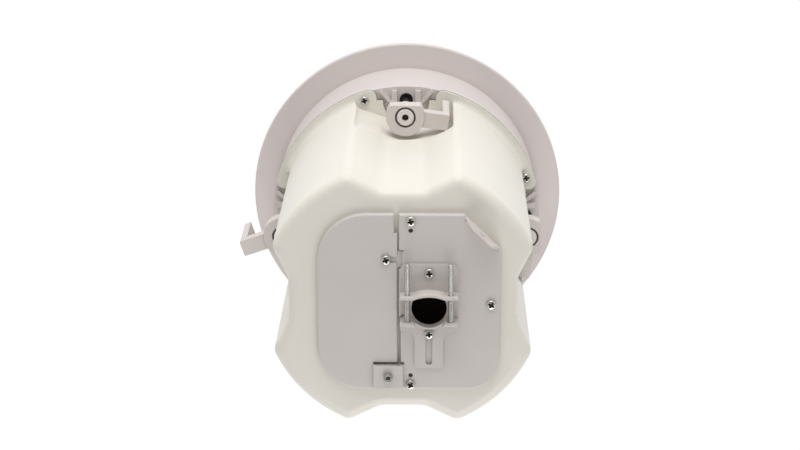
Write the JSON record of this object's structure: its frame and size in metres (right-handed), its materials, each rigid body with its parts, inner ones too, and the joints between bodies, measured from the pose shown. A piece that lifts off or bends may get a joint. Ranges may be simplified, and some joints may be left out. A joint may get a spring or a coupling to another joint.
{
  "type": "in-ceiling loudspeaker",
  "caption": "Round in-ceiling loudspeaker with a fluted back can, wide bezel, swing-out clamps on long screws and a sheet-metal wiring cover with an adjustable cable clamp.",
  "frame": {"origin": "on the speaker's axis in the plane of the bezel's back face, which lies on the ceiling", "axes": "+Z along the axis from the room up into the ceiling void, +Y towards the top clamp, +X to the right as seen from behind"},
  "size_m": [0.2524, 0.25, 0.2978],
  "materials": {
    "bezel_plastic": "moulded satin",
    "can_paint": "cream powder coat",
    "cover_paint": "grey-white powder coat",
    "clamp_plastic": "moulded satin",
    "bush_plastic": "moulded satin",
    "bright_zinc": "bright zinc",
    "black_steel": "black oxide",
    "gasket_rubber": "soft foam rubber",
    "grille_paint": "white powder coat",
    "box_zinc": "dull zinc",
    "terminal_plastic": "moulded matt",
    "basket_steel": "black paint",
    "plate_steel": "zinc",
    "ferrite": "matt ferrite",
    "copper_winding": "enamelled copper",
    "spider_cloth": "impregnated cloth",
    "cone_paper": "pressed paper",
    "surround_rubber": "soft rubber",
    "tweeter_plastic": "moulded matt",
    "dome_silk": "coated silk",
    "knob_plastic": "moulded matt",
    "lamination": "varnished laminations",
    "board_laminate": "circuit laminate",
    "capacitor_film": "taped film",
    "pad_fibre": "fibre fill"
  },
  "bodies": {
    "chassis": {"baffle": "bezel_plastic", "front_grille": "grille_paint", "back_can": "can_paint", "can_gasket": "gasket_rubber", "can_screws": "bright_zinc", "terminal_cover": "cover_paint", "bridge_nut": "bright_zinc", "terminal_plate": "cover_paint", "plate_screws": "bright_zinc", "cover_screw": "bright_zinc", "upper_jaw": "cover_paint", "upper_jaw_screw": "bright_zinc", "lower_jaw_screw": "bright_zinc", "terminal_box": "box_zinc", "terminal_block": "terminal_plastic", "woofer_basket": "basket_steel", "top_plate": "plate_steel", "magnet": "ferrite", "yoke": "plate_steel", "spider": "spider_cloth", "surround": "surround_rubber", "tweeter_housing": "tweeter_plastic", "tweeter_dome": "dome_silk", "woofer_screws": "black_steel", "tap_switch": "terminal_plastic", "transformer_core": "lamination", "transformer_winding": "copper_winding", "crossover_board": "board_laminate", "crossover_choke": "copper_winding", "crossover_capacitor": "capacitor_film", "damping_pad": "pad_fibre"},
    "lower_jaw": {"lower_jaw": "cover_paint"},
    "jaw_rod_left": {"jaw_rod_left": "bright_zinc"},
    "jaw_rod_right": {"jaw_rod_right": "bright_zinc"},
    "tap_knob": {"tap_knob": "knob_plastic"},
    "cone": {"cone": "cone_paper", "voice_coil": "copper_winding"},
    "screw_top": {"clamp_screw_top": "black_steel", "clamp_clip_top": "black_steel"},
    "bush_top": {"clamp_bush_top": "bush_plastic"},
    "arm_top": {"clamp_arm_top": "clamp_plastic"},
    "screw_left": {"clamp_screw_left": "black_steel", "clamp_clip_left": "black_steel"},
    "bush_left": {"clamp_bush_left": "bush_plastic"},
    "arm_left": {"clamp_arm_left": "clamp_plastic"},
    "screw_bottom": {"clamp_screw_bottom": "black_steel", "clamp_clip_bottom": "black_steel"},
    "bush_bottom": {"clamp_bush_bottom": "bush_plastic"},
    "arm_bottom": {"clamp_arm_bottom": "clamp_plastic"},
    "screw_right": {"clamp_screw_right": "black_steel", "clamp_clip_right": "black_steel"},
    "bush_right": {"clamp_bush_right": "bush_plastic"},
    "arm_right": {"clamp_arm_right": "clamp_plastic"}
  },
  "joints": [
    {"name": "screw_top_turn", "type": "hinge", "parent": "chassis", "child": "screw_top", "pos_m": [0, 0.0945, 0.1135], "axis": [0, 0, 1], "range_deg": [0, 655]},
    {"name": "bush_top_slide", "type": "slide", "parent": "chassis", "child": "bush_top", "axis": [0, 0, -1], "range_m": [0, 0.004]},
    {"name": "arm_top_swing", "type": "hinge", "parent": "bush_top", "child": "arm_top", "pos_m": [0, 0.0945, 0.1135], "axis": [0, 0, 1], "range_deg": [0, 117]},
    {"name": "screw_left_turn", "type": "hinge", "parent": "chassis", "child": "screw_left", "pos_m": [-0.0945, 0, 0.1135], "axis": [0, 0, 1], "range_deg": [0, 6219]},
    {"name": "bush_left_slide", "type": "slide", "parent": "chassis", "child": "bush_left", "axis": [0, 0, -1], "range_m": [0, 0.038]},
    {"name": "arm_left_swing", "type": "hinge", "parent": "bush_left", "child": "arm_left", "pos_m": [-0.0945, 0, 0.1135], "axis": [0, 0, 1], "range_deg": [-117, 0]},
    {"name": "screw_bottom_turn", "type": "hinge", "parent": "chassis", "child": "screw_bottom", "pos_m": [0, -0.0945, 0.1135], "axis": [0, 0, 1], "range_deg": [0, 655]},
    {"name": "bush_bottom_slide", "type": "slide", "parent": "chassis", "child": "bush_bottom", "axis": [0, 0, -1], "range_m": [0, 0.004]},
    {"name": "arm_bottom_swing", "type": "hinge", "parent": "bush_bottom", "child": "arm_bottom", "pos_m": [0, -0.0945, 0.1135], "axis": [0, 0, 1], "range_deg": [0, 117]},
    {"name": "screw_right_turn", "type": "hinge", "parent": "chassis", "child": "screw_right", "pos_m": [0.0945, 0, 0.1135], "axis": [0, 0, 1], "range_deg": [0, 655]},
    {"name": "bush_right_slide", "type": "slide", "parent": "chassis", "child": "bush_right", "axis": [0, 0, -1], "range_m": [0, 0.004]},
    {"name": "arm_right_swing", "type": "hinge", "parent": "bush_right", "child": "arm_right", "pos_m": [0.0945, 0, 0.1135], "axis": [0, 0, 1], "range_deg": [0, 117]},
    {"name": "lower_jaw_slide", "type": "slide", "parent": "chassis", "child": "lower_jaw", "axis": [0, 1, 0], "range_m": [0, 0.016]},
    {"name": "jaw_rod_left_turn", "type": "hinge", "parent": "lower_jaw", "child": "jaw_rod_left", "pos_m": [0.0035, 0, 0.282], "axis": [0, 1, 0], "range_deg": [0, 8229]},
    {"name": "jaw_rod_right_turn", "type": "hinge", "parent": "lower_jaw", "child": "jaw_rod_right", "pos_m": [0.0337, 0, 0.282], "axis": [0, 1, 0], "range_deg": [0, 8229]},
    {"name": "tap_knob_turn", "type": "hinge", "parent": "chassis", "child": "tap_knob", "pos_m": [0.03502, 0.08453, 0], "axis": [0, 0, 1], "range_deg": [0, 240]},
    {"name": "cone_travel", "type": "slide", "parent": "chassis", "child": "cone", "axis": [0, 0, -1], "range_m": [-0.003, 0.003], "stiffness_N_per_m": 1500, "deforming": ["surround", "spider"]}
  ],
  "couplings": [
    {"joint": "screw_top_turn", "follows": "bush_top_slide", "rad_per_m": 2856},
    {"joint": "screw_left_turn", "follows": "bush_left_slide", "rad_per_m": 2856},
    {"joint": "screw_bottom_turn", "follows": "bush_bottom_slide", "rad_per_m": 2856},
    {"joint": "screw_right_turn", "follows": "bush_right_slide", "rad_per_m": 2856},
    {"joint": "jaw_rod_left_turn", "follows": "lower_jaw_slide", "rad_per_m": 8976},
    {"joint": "jaw_rod_right_turn", "follows": "lower_jaw_slide", "rad_per_m": 8976}
  ]
}
